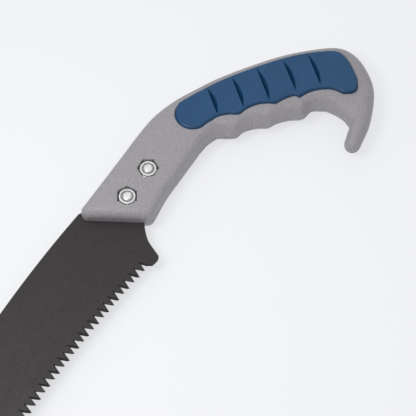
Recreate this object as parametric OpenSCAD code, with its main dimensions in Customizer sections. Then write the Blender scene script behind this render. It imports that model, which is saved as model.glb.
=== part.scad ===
// Pruning hand saw: a curved fixed blade clamped between two moulded handle halves by two M6 bolts.
// Plan axes while modelling: origin on the front blade bolt, +X along the bolt line towards the grip,
// +Y towards the back of the blade, teeth towards -Y, +Z up out of the half that holds the nuts.
// in_row() then moves every piece so that the origin is the bottom centre of the whole saw's box.

/* [Blade] */
// Thickness of the blade
blade_t = 1.4; // [1:0.1:2]
// Length of one tooth along the cutting edge
tooth_pitch = 4.6; // [3.5:0.1:6]
// Depth of the gullets
tooth_depth = 4.9; // [3:0.1:5.5]
// Number of teeth
tooth_count = 72; // [40:1:74]

/* [Handle] */
// Thickness of one handle half along the neck
half_t = 10; // [9:0.5:12]
// How far each grip inlay stands out of its handle half
inlay_proud = 1.2; // [0.6:0.1:2]
// Wall left between the parting face hollows and the inlay seats
seat_wall = 3; // [2:0.5:4]

/* [Fasteners] */
// Distance between the two blade bolts
bolt_spacing = 22; // [20:0.5:24]
// Thread diameter of the blade bolts
bolt_d = 6; // [5:1:6]
// Size across the flats of the lock nuts
nut_af = 10; // [9:0.5:10]
// Size across the flats of the nut pockets
nut_pocket_af = 11.4; // [10.4:0.1:12]

/* [Hidden] */
eps = 0.01;
round_fn = 64;

handle_grey = [0.64, 0.63, 0.65];
inlay_blue = [0.22, 0.35, 0.49];
blade_black = [0.26, 0.25, 0.26];
zinc = [0.80, 0.80, 0.78];
nylon = [0.62, 0.66, 0.68];

// Cross sections of the handle from the neck to the hook:
// back edge x, y, finger edge x, y, half thickness, squareness of the section (2 is an ellipse)
STATIONS = [
    [-20, 19, 3, -18.7, half_t, 4.2],
    [2, 18.9, 17, -17, half_t, 4.2],
    [22, 19, 33, -16.8, half_t, 4.0],
    [41, 19.2, 48, -16.8, half_t, 3.8],
    [55, 18.3, 57.5, -17.5, half_t, 3.6],
    [69.5, 14.6, 66.5, -21.8, half_t, 3.3],
    [82, 9.4, 72.1, -29.7, half_t, 3.1],
    [98.2, 1.3, 87.7, -41.8, half_t, 3.1],
    [116, -10, 104.1, -56.1, half_t, 3.1],
    [134, -23.3, 112.7, -60.2, half_t, 3.0],
    [148.5, -37, 117.5, -65.2, half_t, 2.8],
    [158, -48.7, 118.8, -71, 0.98 * half_t, 2.6],
    [159.5, -59.5, 118.6, -75.7, 0.95 * half_t, 2.5],
    [154.6, -71.5, 117.3, -79.6, 0.90 * half_t, 2.4],
    [143.8, -83.5, 115, -83.3, 0.82 * half_t, 2.3],
    [124.5, -92.3, 110.2, -84.5, 0.71 * half_t, 2.2],
    [107.5, -95.5, 105.6, -85.8, 0.54 * half_t, 2.1]];
LAST = len(STATIONS) - 1;
// Finger grooves: first station, last station, depth at the parting face, depth at the top of the wall
FINGER_GROOVES = [[4.6, 6.08, 0.5, 2], [6.08, 7.1, 2.9, 2.7], [7.1, 8.08, 2.4, 2.5], [8.08, 9.6, 1.6, 0.9]];
// The finger ridges lean towards the hook as they climb the side wall, by this much of a station
ridge_lean = 0.25;
// The finger side has a crisper edge than the back, and leans in as it climbs
finger_crisp = 2.6;
grip_draft = 4.6;
neck_draft = 1.4;
rings_per_station = 4;
arc_steps = 16;

// Front end of the neck: a plane slanted 30 degrees, with rounded corners and a rounded upper edge
front_along = [0.505, -0.863];
front_inward = [0.863, 0.505];
back_corner = [-26, 19];
finger_corner = [-3.4, -19.2];
back_corner_r = 4.1;
finger_corner_r = 5;
front_edge_r = 5.3;
front_depth = 6.2;
FRONT_RINGS = [0, 0.3, 0.9, 1.8, 3, 4.6];
TIP_RINGS = [18, 36, 52, 66, 80];

// Blade edges are two long arcs; the cutting edge carries the teeth
spine_centre = [-69.9, -745.4];
spine_r = 766.9;
edge_centre = [-116.7, -792.7];
edge_r = 764.3;
first_gullet_x = -28.7;
heel_scoop = [[-4.2, -14.6], [-6.4, -16.3], [-9.8, -19.2], [-14.1, -24.2], [-17, -30.3], [-18.2, -33.2]];
heel_lobe = [[-18.8, -34.4], [-19.8, -35.1], [-21.5, -35.5], [-24, -35.2], [-25.7, -34.8], [-27.6, -32]];
tang_top = [[-22, 20], [-12, 15], [26, 13]];
tang = [[33, 9], [36, 5], [36, -6], [33, -10], [27, -12], [2, -12.4]];
nose_r = 14;

mid_z = half_t + inlay_proud;
seat_z = 0.75 * half_t;
hollow_z = seat_z - seat_wall;
nut_seat_z = 3.2;
nut_h = 6;
washer_seat_z = 4.5;
washer_t = 1.6;
bolt_len = 16;
bolt_head_h = 3.3;
peg_d = 5;
SCREW_STATIONS = [5.2, 8, 11];
PEG_STATIONS = [3.2, 14.3];

// ---- curves ----

function mix(a, b, t) = a + (b - a) * t;

// Smooth curve through the rows of a table, at position u counted in rows
function spline(rows, u) =
    let (n = len(rows), i = min(floor(u), n - 2), t = u - i,
        before = i > 0 ? rows[i - 1] : 2 * rows[0] - rows[1], a = rows[i], b = rows[i + 1],
        after = i + 2 < n ? rows[i + 2] : 2 * rows[n - 1] - rows[n - 2])
    0.5 * (2 * a + (b - before) * t + (2 * before - 5 * a + 4 * b - after) * t * t
        + (3 * a - before - 3 * b + after) * t * t * t);

// Depth of the finger grooves at a share of the wall's height
function hump(u, groove, rise) =
    let (t = (u - groove[0]) / (groove[1] - groove[0]))
    t > 0 && t < 1 ? mix(groove[2], groove[3], rise) * 4 * t * (1 - t) : 0;

function groove_depth(u, rise = 0, i = 0) =
    i == len(FINGER_GROOVES) ? 0 : hump(u, FINGER_GROOVES[i], rise) + groove_depth(u, rise, i + 1);

function unit(v) = v / norm(v);

// A section is [back point, finger point, half thickness, squareness]
function bare_section(u) = let (s = spline(STATIONS, u)) [[s[0], s[1]], [s[2], s[3]], s[4], s[5]];
function section(u) =
    let (s = bare_section(u)) [s[0], s[1] + unit(s[0] - s[1]) * groove_depth(u), s[2], s[3]];

function clamp(v) = min(max(v, 0), 1);
function smooth(t) = let (c = clamp(t)) c * c * (3 - 2 * c);
function lean(u, a) = ridge_lean * clamp(min(u - 4, 10 - u) / 1.5) * smooth((180 - a) / 65);

// How crisp the finger side's edge is at a station, and how far its wall leans in
function finger_shape(u) =
    let (leaving = 1 - smooth((u - 9.4) / 3.2))
    [finger_crisp * leaving, mix(neck_draft, grip_draft, smooth((u - 3) / 2.2)) * leaving];

// Half thickness d behind the front plane: the upper half has a round edge, the lower half a full sweep
function front_half_t(d, lower) =
    let (run = lower ? front_depth : front_edge_r, rise = lower ? half_t - 0.5 : front_edge_r)
    half_t - rise + rise * sqrt(1 - (1 - clamp(d / run)) ^ 2);

// Section d behind the front plane, where the corners are still rounding
function front_section(d, lower) =
    let (back_c = back_corner + front_along * back_corner_r / tan(30) + front_inward * back_corner_r,
        finger_c = finger_corner - front_along * finger_corner_r * tan(30) + front_inward * finger_corner_r,
        xb = back_corner_r - d, xf = max(finger_corner_r - d, finger_corner_r / 2),
        back = d < 1.5 * back_corner_r
            ? back_c - front_inward * xb - front_along * sqrt(max(back_corner_r ^ 2 - xb ^ 2, 0))
            : [0, back_corner[1]],
        arc = finger_c - front_inward * xf + front_along * sqrt(finger_corner_r ^ 2 - xf ^ 2),
        run = max(0, (d - finger_corner_r / 2) / (front_depth - finger_corner_r / 2)),
        finger = mix(arc, [STATIONS[0][2], STATIONS[0][3]], run))
    [back, finger, front_half_t(d, lower), STATIONS[0][5]];

// Section on the rounded end of the hook, at an angle round the cap
function tip_section(a) =
    let (s = section(LAST), mid = (s[0] + s[1]) / 2, reach = (s[0] - s[1]) / 2,
        ahead = 1.15 * [reach[1], -reach[0]], c = mid + ahead * sin(a))
    [c + reach * cos(a), c - reach * cos(a), s[2] * cos(a), s[3]];

function power(v, p) = sign(v) * pow(abs(v), p);

// Point on a section at an angle: 0 is its back edge, 180 its finger edge, cut is a finger groove's depth
function section_point(s, a, cuts = [0, 0], shape = [0, 0]) =
    let (bend = s[3] + (a > 90 ? shape[0] : 0), reach = (s[0] - s[1]) / 2, across = power(cos(a), 2 / bend),
        rise = a == 0 || a == 180 ? 0 : power(sin(a), 2 / bend),
        inward = (cuts[0] + (cuts[1] - cuts[0] + shape[1]) * rise) * (1 - across) / 2)
    [each ((s[0] + s[1]) / 2 + reach * across + unit(reach) * inward), s[2] * rise];

ANGLES = [for (k = [0 : arc_steps]) 180 * k / arc_steps];
function plain_ring(s, shape = [0, 0]) = [for (a = ANGLES) section_point(s, a, [0, 0], shape)];
function grip_ring(u) = let (cuts = [groove_depth(u), groove_depth(u, 1)])
    [for (a = ANGLES) section_point(bare_section(u + lean(u, a)), a, cuts, finger_shape(u))];
function handle_rings(lower) = concat(
    [for (d = FRONT_RINGS) plain_ring(front_section(d, lower), finger_shape(0))],
    [for (k = [0 : LAST * rings_per_station]) grip_ring(k / rings_per_station)],
    [for (a = TIP_RINGS) plain_ring(tip_section(a))]);
BACK_EDGE = [for (r = handle_rings(false)) r[0]];

// Point on the handle's middle line
function middle(u) = let (s = section(u)) (s[0] + s[1]) / 2;

// Unit normal of an edge of the handle, pointing into it: edge 0 is the back, 1 the finger side
function edge_normal(u, edge) =
    let (t = unit(bare_section(u + 0.05)[edge] - bare_section(u - 0.05)[edge]))
    edge == 0 ? [t[1], -t[0]] : [-t[1], t[0]];

// Outline of the inlay, drawn in by a margin: two edges that follow the handle's, and a round front end
function back_line(u, in) =
    bare_section(u)[0] + edge_normal(u, 0) * (5.3 + in + 4.7 * smooth((u - 9.2) / 4.6));
function finger_margin(u) =
    8.1 + 1.3 * smooth((u - 4.4) / 1.6) - smooth((u - 8) / 0.6) + 1.3 * smooth(u - 9) + groove_depth(u, 1);
function finger_line(u, in) = let (v = u + ridge_lean)
    bare_section(v)[1] + edge_normal(v, 1) * (in + finger_margin(u));
function inlay_outline(in = 0) = concat(
    [for (u = [5.1 : 0.25 : 13.6]) back_line(u, in)],
    [[137.3 - in, -75.2 + 1.2 * in], [134.4 - in / 2, -75.9 + 1.3 * in], [131.6 + in / 2, -74.6 + in]],
    [for (u = [10.8 : -0.2 : 4.4]) finger_line(u, in)],
    [for (a = [-65 : 15 : 75]) let (r = 10.8 - in) [67.1 - r * cos(a), -1.8 + r * sin(a)]]);

// ---- placing ----

function edge_point(a, r = edge_r) = edge_centre + r * [sin(a), cos(a)];
pitch_deg = 360 * tooth_pitch / (2 * PI * edge_r);
gullet_r = edge_r + tooth_depth;
first_gullet_deg = asin((first_gullet_x - edge_centre[0]) / gullet_r);
tip_deg = first_gullet_deg - tooth_count * pitch_deg;
blade_end = edge_point(tip_deg, gullet_r);
// The spine rounds down into the nose of the blade
nose_deg = asin((blade_end[0] + 3 - spine_centre[0]) / spine_r);
nose_centre = spine_centre + (spine_r - nose_r) * [sin(nose_deg), cos(nose_deg)];
row_x = (max([for (p = BACK_EDGE) p[0]]) + nose_centre[0] - nose_r) / 2;
row_y = (spine_centre[1] + spine_r + min([for (p = BACK_EDGE) p[1]])) / 2;

module in_row() {
    translate([-row_x, -row_y, mid_z]) children();
}

module at_bolt(i) {
    translate([i * bolt_spacing, 0, 0]) children();
}

module at_middle(u) {
    translate([each middle(u), 0]) children();
}

module on_side(lower) {
    mirror([0, 0, lower ? 1 : 0]) children();
}

// ---- blade ----

// One tooth of three cuts: a steep flank, a short top facet and the flank into the next gullet
function tooth(i) =
    let (a = first_gullet_deg - i * pitch_deg)
    [edge_point(a, gullet_r), edge_point(a - 0.39 * pitch_deg),
        edge_point(a - 0.61 * pitch_deg, edge_r + 0.22 * tooth_depth)];

module blade_plan() {
    teeth = [for (i = [0 : tooth_count - 1]) each tooth(i)];
    nose = [for (a = [-110 : 10 : nose_deg]) nose_centre + nose_r * [sin(a), cos(a)]];
    above_spine = [nose_centre + [0, 60], [-200, 40], [-30, 40]];
    polygon(concat(heel_scoop, heel_lobe, teeth, [blade_end], nose, above_spine, tang_top, tang));
}

module saw_blade() {
    color(blade_black) difference() {
        intersection() {
            translate([0, 0, -blade_t / 2]) linear_extrude(blade_t) blade_plan();
            translate([each spine_centre, -blade_t]) cylinder(r = spine_r, h = 2 * blade_t, $fn = 360);
        }
        for (i = [0, 1]) at_bolt(i)
            translate([0, 0, -blade_t]) cylinder(d = bolt_d, h = 2 * blade_t, $fn = round_fn);
    }
}

// ---- handle ----

// Closed half of the handle above its flat parting face
module half_form(lower) {
    rings = handle_rings(lower);
    n = len(rings);
    w = arc_steps + 1;
    outer = [for (i = [0 : n - 2], k = [0 : w - 2]) let (p = i * w + k)
        each [[p, p + w, p + 1], [p + 1, p + w, p + w + 1]]];
    parting = [for (i = [0 : n - 2]) let (p = i * w, q = i * w + w - 1) each [[p, q, p + w], [q, q + w, p + w]]];
    ends = [[for (k = [0 : w - 1]) k], [for (k = [w - 1 : -1 : 0]) (n - 1) * w + k]];
    polyhedron([for (r = rings) each r], concat(outer, parting, ends), convexity = 6);
}

// Hollows between the moulded ribs, open at the parting face
module hollow(from, to) {
    us = [for (k = [0 : 4]) mix(from, to, k / 4)];
    outline = concat([for (u = us) mix(section(u)[0], section(u)[1], 0.2)],
        [for (k = [4 : -1 : 0]) mix(section(us[k])[0], section(us[k])[1], 0.8)]);
    translate([0, 0, -eps]) linear_extrude(hollow_z + eps) polygon(outline);
}

module hollows() {
    for (span = [[3.6, 4.7], [5.8, 6.6], [6.7, 7.5], [8.5, 9.2], [9.3, 10.4], [11.5, 12.8]]) hollow(span[0], span[1]);
}

module tang_slot() {
    intersection() {
        translate([0, 0, -eps]) linear_extrude(blade_t / 2 + eps) blade_plan();
        translate([-45, -16, -1]) cube([90, 36.3, 4]);
    }
}

module handle_half(lower) {
    difference() {
        on_side(lower) half_form(lower);
        on_side(lower) tang_slot();
        on_side(lower) hollows();
        on_side(lower) translate([0, 0, seat_z]) linear_extrude(half_t) polygon(inlay_outline());
        for (i = [0, 1]) at_bolt(i)
            translate([0, 0, -2 * half_t]) cylinder(d = bolt_d + 0.4, h = 4 * half_t, $fn = round_fn);
        if (lower) lower_cuts(); else upper_cuts();
    }
    if (lower) for (u = PEG_STATIONS) at_middle(u) translate([0, 0, -1]) cylinder(d = peg_d, h = 4, $fn = 32);
}

// Nut pockets, blind screw holes and the sockets for the locating pegs
module upper_cuts() {
    for (i = [0, 1]) at_bolt(i) translate([0, 0, nut_seat_z]) rotate(i == 0 ? 33 : 3)
        cylinder(d = nut_pocket_af / cos(30), h = half_t, $fn = 6);
    for (u = SCREW_STATIONS) at_middle(u) translate([0, 0, -eps]) cylinder(d = 3.9, h = 6, $fn = 32);
    for (u = PEG_STATIONS) at_middle(u) translate([0, 0, -eps]) cylinder(d = peg_d + 0.1, h = 3.5, $fn = 32);
}

// Washer and head counterbores, and stepped holes for the grip screws
module lower_cuts() {
    for (i = [0, 1]) at_bolt(i) translate([0, 0, -2 * half_t])
        cylinder(d = 13, h = 2 * half_t - washer_seat_z, $fn = round_fn);
    for (u = SCREW_STATIONS) at_middle(u) {
        translate([0, 0, -half_t]) cylinder(d = 4.2, h = 2 * half_t, $fn = 32);
        translate([0, 0, -half_t]) cylinder(d = 8.4, h = half_t - seat_z + 2.6, $fn = 32);
    }
}

module upper_handle_half() {
    color(handle_grey) handle_half(false);
}

module lower_handle_half() {
    color(handle_grey) handle_half(true);
}

// ---- grip inlays ----

// Disc with one flat side that sinks a groove with a straight edge and a curved one across the inlay
groove_deep = 3;
groove_slope = 0.8;
groove_floor = 0.12;
module groove_cutter(from, to) {
    along = to - from;
    r = (norm(along) ^ 2 / 4 + groove_deep ^ 2) / (2 * groove_deep);
    centre = (from + to) / 2;
    translate([each centre, mid_z + r - groove_deep]) rotate(atan2(along[1], along[0])) rotate([90, 0, 0])
        rotate_extrude($fn = 180) polygon([[r - 5, groove_floor], [r, groove_floor], [r, -groove_floor],
            [r - 5, -groove_floor - 5 * groove_slope]]);
}

module grip_inlay(lower) {
    on_side(lower) difference() {
        union() {
            translate([0, 0, seat_z]) linear_extrude(mid_z - seat_z - 0.6) polygon(inlay_outline());
            translate([0, 0, seat_z]) linear_extrude(mid_z - seat_z) polygon(inlay_outline(0.8));
        }
        for (line = [[[86, 0], [74.5, -14.7]], [[100.3, -8.6], [87, -25.2]], [[114, -17.5], [99.5, -35.7]],
            [[127.5, -28], [113.8, -45.5]], [[139.3, -38.6], [125.5, -55.8]]]) groove_cutter(line[0], line[1]);
    }
}

module upper_grip_inlay() {
    color(inlay_blue) grip_inlay(false);
}

module lower_grip_inlay() {
    color(inlay_blue) grip_inlay(true);
}

// ---- fasteners ----

module blade_bolt(i) {
    head_z = -(washer_seat_z + washer_t);
    color(zinc) at_bolt(i) difference() {
        union() {
            translate([0, 0, head_z]) cylinder(d = bolt_d, h = bolt_len - 0.6, $fn = round_fn);
            translate([0, 0, head_z + bolt_len - 0.6]) cylinder(d1 = bolt_d, d2 = bolt_d - 1.4, h = 0.6, $fn = 32);
            translate([0, 0, head_z - bolt_head_h]) cylinder(d = 10.5, h = bolt_head_h, $fn = round_fn);
        }
        translate([0, 0, head_z - bolt_head_h - eps]) cylinder(d = 4 / cos(30), h = 2, $fn = 6);
    }
}

module bolt_washer(i) {
    color(zinc) at_bolt(i) translate([0, 0, -washer_seat_z - washer_t]) difference() {
        cylinder(d = 12, h = washer_t, $fn = round_fn);
        translate([0, 0, -1]) cylinder(d = bolt_d + 0.4, h = washer_t + 2, $fn = round_fn);
    }
}

// Lock nut: hexagon below, round crown above with a recess for the nylon insert
module lock_nut(i) {
    color(zinc) at_bolt(i) translate([0, 0, nut_seat_z]) difference() {
        union() {
            rotate(i == 0 ? 33 : 3) cylinder(d = nut_af / cos(30), h = nut_h - 1.8, $fn = 6);
            cylinder(d = nut_af - 0.3, h = nut_h, $fn = round_fn);
        }
        translate([0, 0, -1]) cylinder(d = bolt_d, h = nut_h + 2, $fn = round_fn);
        translate([0, 0, nut_h - 1.6]) cylinder(d = 7.6, h = 2, $fn = round_fn);
    }
}

module nut_insert(i) {
    color(nylon) at_bolt(i) translate([0, 0, nut_seat_z + nut_h - 1.6]) difference() {
        cylinder(d = 7.6, h = 1.2, $fn = round_fn);
        translate([0, 0, -1]) cylinder(d = bolt_d, h = 4, $fn = round_fn);
    }
}

// Pan head screw driven from the lower seat into the blind hole of the upper half
module grip_screw(i) {
    head_z = 2.6 - seat_z;
    color(zinc) at_middle(SCREW_STATIONS[i]) difference() {
        union() {
            translate([0, 0, head_z]) cylinder(d = 3.9, h = 9, $fn = 32);
            translate([0, 0, head_z + 9]) cylinder(d1 = 3.9, d2 = 2, h = 1.2, $fn = 32);
            translate([0, 0, head_z - 2.2]) cylinder(d = 7.5, h = 2.2, $fn = 32);
        }
        for (a = [0, 90]) rotate(a) translate([-2.2, -0.5, head_z - 3]) cube([4.4, 1, 2.2]);
    }
}

in_row() saw_blade();
in_row() upper_handle_half();
in_row() lower_handle_half();
in_row() upper_grip_inlay();
in_row() lower_grip_inlay();
in_row() blade_bolt(0);  // front_blade_bolt
in_row() blade_bolt(1);  // rear_blade_bolt
in_row() bolt_washer(0);  // front_bolt_washer
in_row() bolt_washer(1);  // rear_bolt_washer
in_row() lock_nut(0);  // front_lock_nut
in_row() lock_nut(1);  // rear_lock_nut
in_row() nut_insert(0);  // front_nut_insert
in_row() nut_insert(1);  // rear_nut_insert
in_row() grip_screw(0);  // front_grip_screw
in_row() grip_screw(1);  // middle_grip_screw
in_row() grip_screw(2);  // rear_grip_screw
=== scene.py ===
"""Looks of the pruning hand saw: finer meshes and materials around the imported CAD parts.

Shapes are worked out in millimetres in plan axes whose origin is the front blade bolt at mid thickness:
+X along the bolt line towards the grip, +Y towards the back of the blade, +Z up out of the nut side.
place() then puts each piece where the CAD frame has it, in metres.
"""
import math

import bmesh
import bpy
import numpy as np
from mathutils import Matrix, Vector


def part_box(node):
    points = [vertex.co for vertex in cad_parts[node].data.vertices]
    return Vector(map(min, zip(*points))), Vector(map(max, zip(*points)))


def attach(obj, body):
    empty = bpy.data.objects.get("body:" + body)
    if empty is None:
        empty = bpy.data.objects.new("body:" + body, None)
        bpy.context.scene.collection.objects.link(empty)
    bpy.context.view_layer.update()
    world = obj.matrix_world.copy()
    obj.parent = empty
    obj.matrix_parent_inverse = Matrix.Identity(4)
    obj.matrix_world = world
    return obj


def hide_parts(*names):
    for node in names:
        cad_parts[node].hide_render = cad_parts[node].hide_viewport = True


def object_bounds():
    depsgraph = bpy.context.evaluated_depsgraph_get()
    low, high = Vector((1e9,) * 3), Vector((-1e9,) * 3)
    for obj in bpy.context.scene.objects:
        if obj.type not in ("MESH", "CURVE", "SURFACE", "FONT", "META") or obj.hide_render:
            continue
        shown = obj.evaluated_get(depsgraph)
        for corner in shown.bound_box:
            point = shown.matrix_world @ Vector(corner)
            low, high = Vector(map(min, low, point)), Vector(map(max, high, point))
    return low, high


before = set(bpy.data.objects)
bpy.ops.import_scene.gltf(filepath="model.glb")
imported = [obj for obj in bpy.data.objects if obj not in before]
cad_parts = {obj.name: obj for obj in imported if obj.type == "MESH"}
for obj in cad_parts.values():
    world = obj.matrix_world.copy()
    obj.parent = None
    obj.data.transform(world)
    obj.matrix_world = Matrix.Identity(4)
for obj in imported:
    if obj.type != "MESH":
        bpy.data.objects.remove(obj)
cad_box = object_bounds()

# ---- sizes from the CAD frame ----
MM = 0.001
bolt_low, bolt_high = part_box("front_blade_bolt")
rear_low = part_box("rear_blade_bolt")[0]
inlay_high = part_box("upper_grip_inlay")[1]
BOLT_SPACING = (rear_low.x - bolt_low.x) / MM
# The saw lies on its lower inlay, so its mid plane is half way up to the top of the upper one
MID_Z = inlay_high.z / 2
ORIGIN = Vector(((bolt_low.x + bolt_high.x) / 2, (bolt_low.y + bolt_high.y) / 2, MID_Z))
INLAY_TOP = MID_Z / MM
# Half the handle's thickness, height of the inlay's seat, and thickness of the blade
HALF_T = 10.0
SEAT_Z = 7.5
BLADE_T = 1.4
# Points of a mesh closer than this are joined
WELD = 1e-4

# ---- handle ----
# Cross sections from the neck to the hook: back edge x, y, finger edge x, y, half thickness, squareness
STATIONS = np.array([
    [-20, 19, 3, -18.7, 10, 4.2],
    [2, 18.9, 17, -17, 10, 4.2],
    [22, 19, 33, -16.8, 10, 4.0],
    [41, 19.2, 48, -16.8, 10, 3.8],
    [55, 18.3, 57.5, -17.5, 10, 3.6],
    [69.5, 14.6, 66.5, -21.8, 10, 3.3],
    [82, 9.4, 72.1, -29.7, 10, 3.1],
    [98.2, 1.3, 87.7, -41.8, 10, 3.1],
    [116, -10, 104.1, -56.1, 10, 3.1],
    [134, -23.3, 112.7, -60.2, 10, 3.0],
    [148.5, -37, 117.5, -65.2, 10, 2.8],
    [158, -48.7, 118.8, -71, 9.8, 2.6],
    [159.5, -59.5, 118.6, -75.7, 9.5, 2.5],
    [154.6, -71.5, 117.3, -79.6, 9.0, 2.4],
    [143.8, -83.5, 115, -83.3, 8.2, 2.3],
    [124.5, -92.3, 110.2, -84.5, 7.1, 2.2],
    [107.5, -95.5, 105.6, -85.8, 5.4, 2.1],
])
LAST = len(STATIONS) - 1
# Finger grooves: first station, last station, depth at the parting face, depth at the top of the wall
FINGER_GROOVES = [(4.6, 6.08, 0.5, 2), (6.08, 7.1, 2.9, 2.7), (7.1, 8.08, 2.4, 2.5), (8.08, 9.6, 1.6, 0.9)]
# Widths and leans along the handle are counted in stations
RIDGE_SOFTNESS = 0.025
RIDGE_LEAN = 0.25
LEAN_SPAN = (4, 10)
LEAN_RUN = 1.5
# Angle from the finger edge over which a ridge takes up its lean
LEAN_ANGLE = 65
# The finger side has a crisper edge than the back, and leans in as it climbs
FINGER_CRISP = 2.6
GRIP_DRAFT = 4.6
NECK_DRAFT = 1.4
# Where the grip's draft takes over from the neck's, and where the hook ends it: start and run
GRIP_BLEND = (3, 2.2)
HOOK_BLEND = (9.4, 3.2)
RINGS_PER_STATION = 14
ARC_STEPS = 48
ANGLES = [180 * k / ARC_STEPS for k in range(ARC_STEPS + 1)]
# Slanted front plane: the directions along it and into the handle, its corners and their radii
FRONT_ALONG = np.array([0.505, -0.863])
FRONT_INWARD = np.array([0.863, 0.505])
BACK_CORNER = np.array([-26.0, 19.0])
FINGER_CORNER = np.array([-3.4, -19.2])
BACK_CORNER_R = 4.1
FINGER_CORNER_R = 5.0
FRONT_EDGE_R = 5.3
# The lower half's front edge is rounded this deep, and keeps this half thickness at the front plane
FRONT_DEPTH = 6.2
FRONT_LEAST_HALF = 0.5
# Where rings lie behind the front plane, and round the hook's end in degrees
FRONT_DEPTHS = [0, 0.08, 0.2, 0.4, 0.65, 0.95, 1.3, 1.7, 2.15, 2.7, 3.3, 3.9, 4.5]
TIP_ANGLES = [8, 16, 24, 32, 40, 48, 55, 62, 69, 75, 81, 86]
# Length of the hook's rounded end as a share of its half width
TIP_LENGTH = 1.15
# Rounding of both halves at the parting line, smaller where the handle is thinner than this
SEAM_INSET = 0.45
SEAM_HEIGHT = 0.3
SEAM_FULL_HALF = 3
# The lower half stands this far past the upper one on the finger side, between these stations
LIP_PROUD = 0.6
LIP_SPANS = [(3.55, 4.15), (5.2, 5.9)]
LIP_RISE_RUN = 0.06
LIP_FALL_RUN = 0.3
# Share of the half thickness at which the lip has run out
LIP_TOP = 0.8

# ---- inside the handle ----
# Gaps round the inlays and over the tang
SEAT_GAP = 0.16
TANG_GAP = 0.05
PEG_STATIONS = (3.2, 14.3)
PEG_HOLE_R = 2.55
PEG_HOLE_DEEP = 3.5
SCREW_STATIONS = (5.2, 8, 11)
# Screw holes: radius in the lower and in the upper half, lowest and highest point
SCREW_CLEAR_R = 2.1
SCREW_PILOT_R = 1.95
SCREW_HOLE_LOW = -9.9
SCREW_HOLE_HIGH = 6
HOLLOW_SPANS = [(3.6, 4.7), (5.8, 6.6), (6.7, 7.5), (8.5, 9.2), (9.3, 10.4), (11.5, 12.8)]
# Thickness left between a hollow and the inlay's seat
HOLLOW_SKIN = 3
# Share of the handle's width that is left as wall on each side of a hollow
HOLLOW_WALL = 0.2
# Cutters reach past the face they open by this much
OVERCUT = 1

# ---- grip inlays ----
# Margins to the handle's edges: at the front, then (station where it starts to change, run, change)
BACK_MARGIN = (5.3, [(9.2, 4.6, 4.7)])
FINGER_MARGIN = (8.1, [(4.4, 1.6, 1.3), (8, 0.6, -1.0), (9, 1.0, 1.3)])
INLAY_BACK_STATIONS = np.arange(5.1, 13.65, 0.125)
INLAY_FINGER_STATIONS = np.arange(10.8, 4.35, -0.1)
# Points round the rear corner, and how far each moves for a millimetre of inset
INLAY_CORNER = [((137.3, -75.2), (-1, 1.2)), ((134.4, -75.9), (-0.5, 1.3)), ((131.6, -74.6), (0.5, 1))]
INLAY_FRONT_CENTRE = (67.1, -1.8)
INLAY_FRONT_R = 10.8
INLAY_FRONT_ANGLES = np.arange(-65, 80, 7.5)
# Lens grooves across the inlay: from the back to the finger side
LENSES = [((86, 0), (74.5, -14.7)), ((100.3, -8.6), (87, -25.2)), ((114, -17.5), (99.5, -35.7)),
          ((127.5, -28), (113.8, -45.5)), ((139.3, -38.6), (125.5, -55.8))]
LENS_DEEP = 3.0
LENS_SLOPE = 0.8
LENS_HALF_FLOOR = 0.12
LENS_CUTTER_TALL = 5
LENS_SEGMENTS = 360
# Where the rounding of the rim starts, how far in it reaches, and in how many steps
RIM_Z = 9.4
RIM_WIDE = 2.0
RIM_STEPS = 12
# Faces of the pad steeper than this, its flanks, take a darker blue with painted shade and a duller gloss:
# the cosine of their tilt
PAINTED_SHADE_TILT = 0.93

# ---- fasteners ----
ENDS = ("front", "rear")
NUT_SEAT_Z = 3.2
NUT_H = 6.0
NUT_AF = 10.0
POCKET_AF = 11.4
# How far each nut is turned, in degrees
NUT_TURNS = (33, 3)
NUT_SEGMENTS = 144
# The crown on the hexagon, its lip, and the nylon ring in its seat
CROWN_H = 1.5
CROWN_LIP_R = 3.85
RING_R = 3.8
RING_SEAT_DEEP = 1.6
BORE_GAP = 0.02
# Counterbores and pockets open with a small chamfer: how far it reaches down and out
MOUTH_DEEP = 0.25
MOUTH_WIDE = 0.5
COUNTERBORE_R = 6.5
WASHER_SEAT_Z = 4.5
WASHER_T = 1.6
WASHER_R = 6
WASHER_HOLE_R = 3.2
BOLT_R = 3.0
BOLT_GAP = 0.2
BOLT_LEN = 16.0
HEAD_R = 5.25
HEAD_H = 3.3
HEAD_FILLET = 0.5
PLAIN_SHANK = 5
DOME_R = 2.4
DOME_H = 0.3
DOME_ANGLES = [0, 12, 28, 45, 62, 76]
SOCKET_AF = 4
SOCKET_MOUTH_AF = 4.5
SOCKET_DEEP = 2
SOCKET_TURN = 15

# ---- blade ----
# The spine and the line of the tooth tips are arcs
SPINE_CENTRE = np.array([-69.9, -745.4])
SPINE_R = 766.9
EDGE_CENTRE = np.array([-116.7, -792.7])
EDGE_R = 764.3
TOOTH_PITCH = 4.6
TOOTH_DEPTH = 4.9
TOOTH_COUNT = 72
FIRST_GULLET_X = -28.7
# Where the edge and the spine curves stop: at the nose, as an angle, and at the tang
NOSE_R = 14.0
NOSE_START = -110
NOSE_PAST_TEETH = 3
SPINE_END_X = -22
HEEL_SCOOP = [(-4.2, -14.6), (-6.4, -16.3), (-9.8, -19.2), (-14.1, -24.2), (-17, -30.3), (-18.2, -33.2)]
HEEL_LOBE = [(-18.8, -34.4), (-19.8, -35.1), (-21.5, -35.5), (-24, -35.2), (-25.7, -34.8), (-27.6, -32)]
# Direction in which the lobe's last cut rises into the first gullet
HEEL_RISE = (-1.1, 1.0)
TANG = [(-12, 15), (26, 13), (33, 9), (36, 5), (36, -6), (33, -10), (27, -12), (2, -12.4)]
# Slot for the tang in both halves, in front of its rounded end
SLOT_BACK = [(-45, 20.4), (-22.8, 20.4)]
SLOT_FRONT = (-45, -16.3)
# Chamfer of the plain edges: how far in it reaches, and how far down
EDGE_CHAMFER = 0.22
CHAMFER_DROP = 0.16
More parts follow.
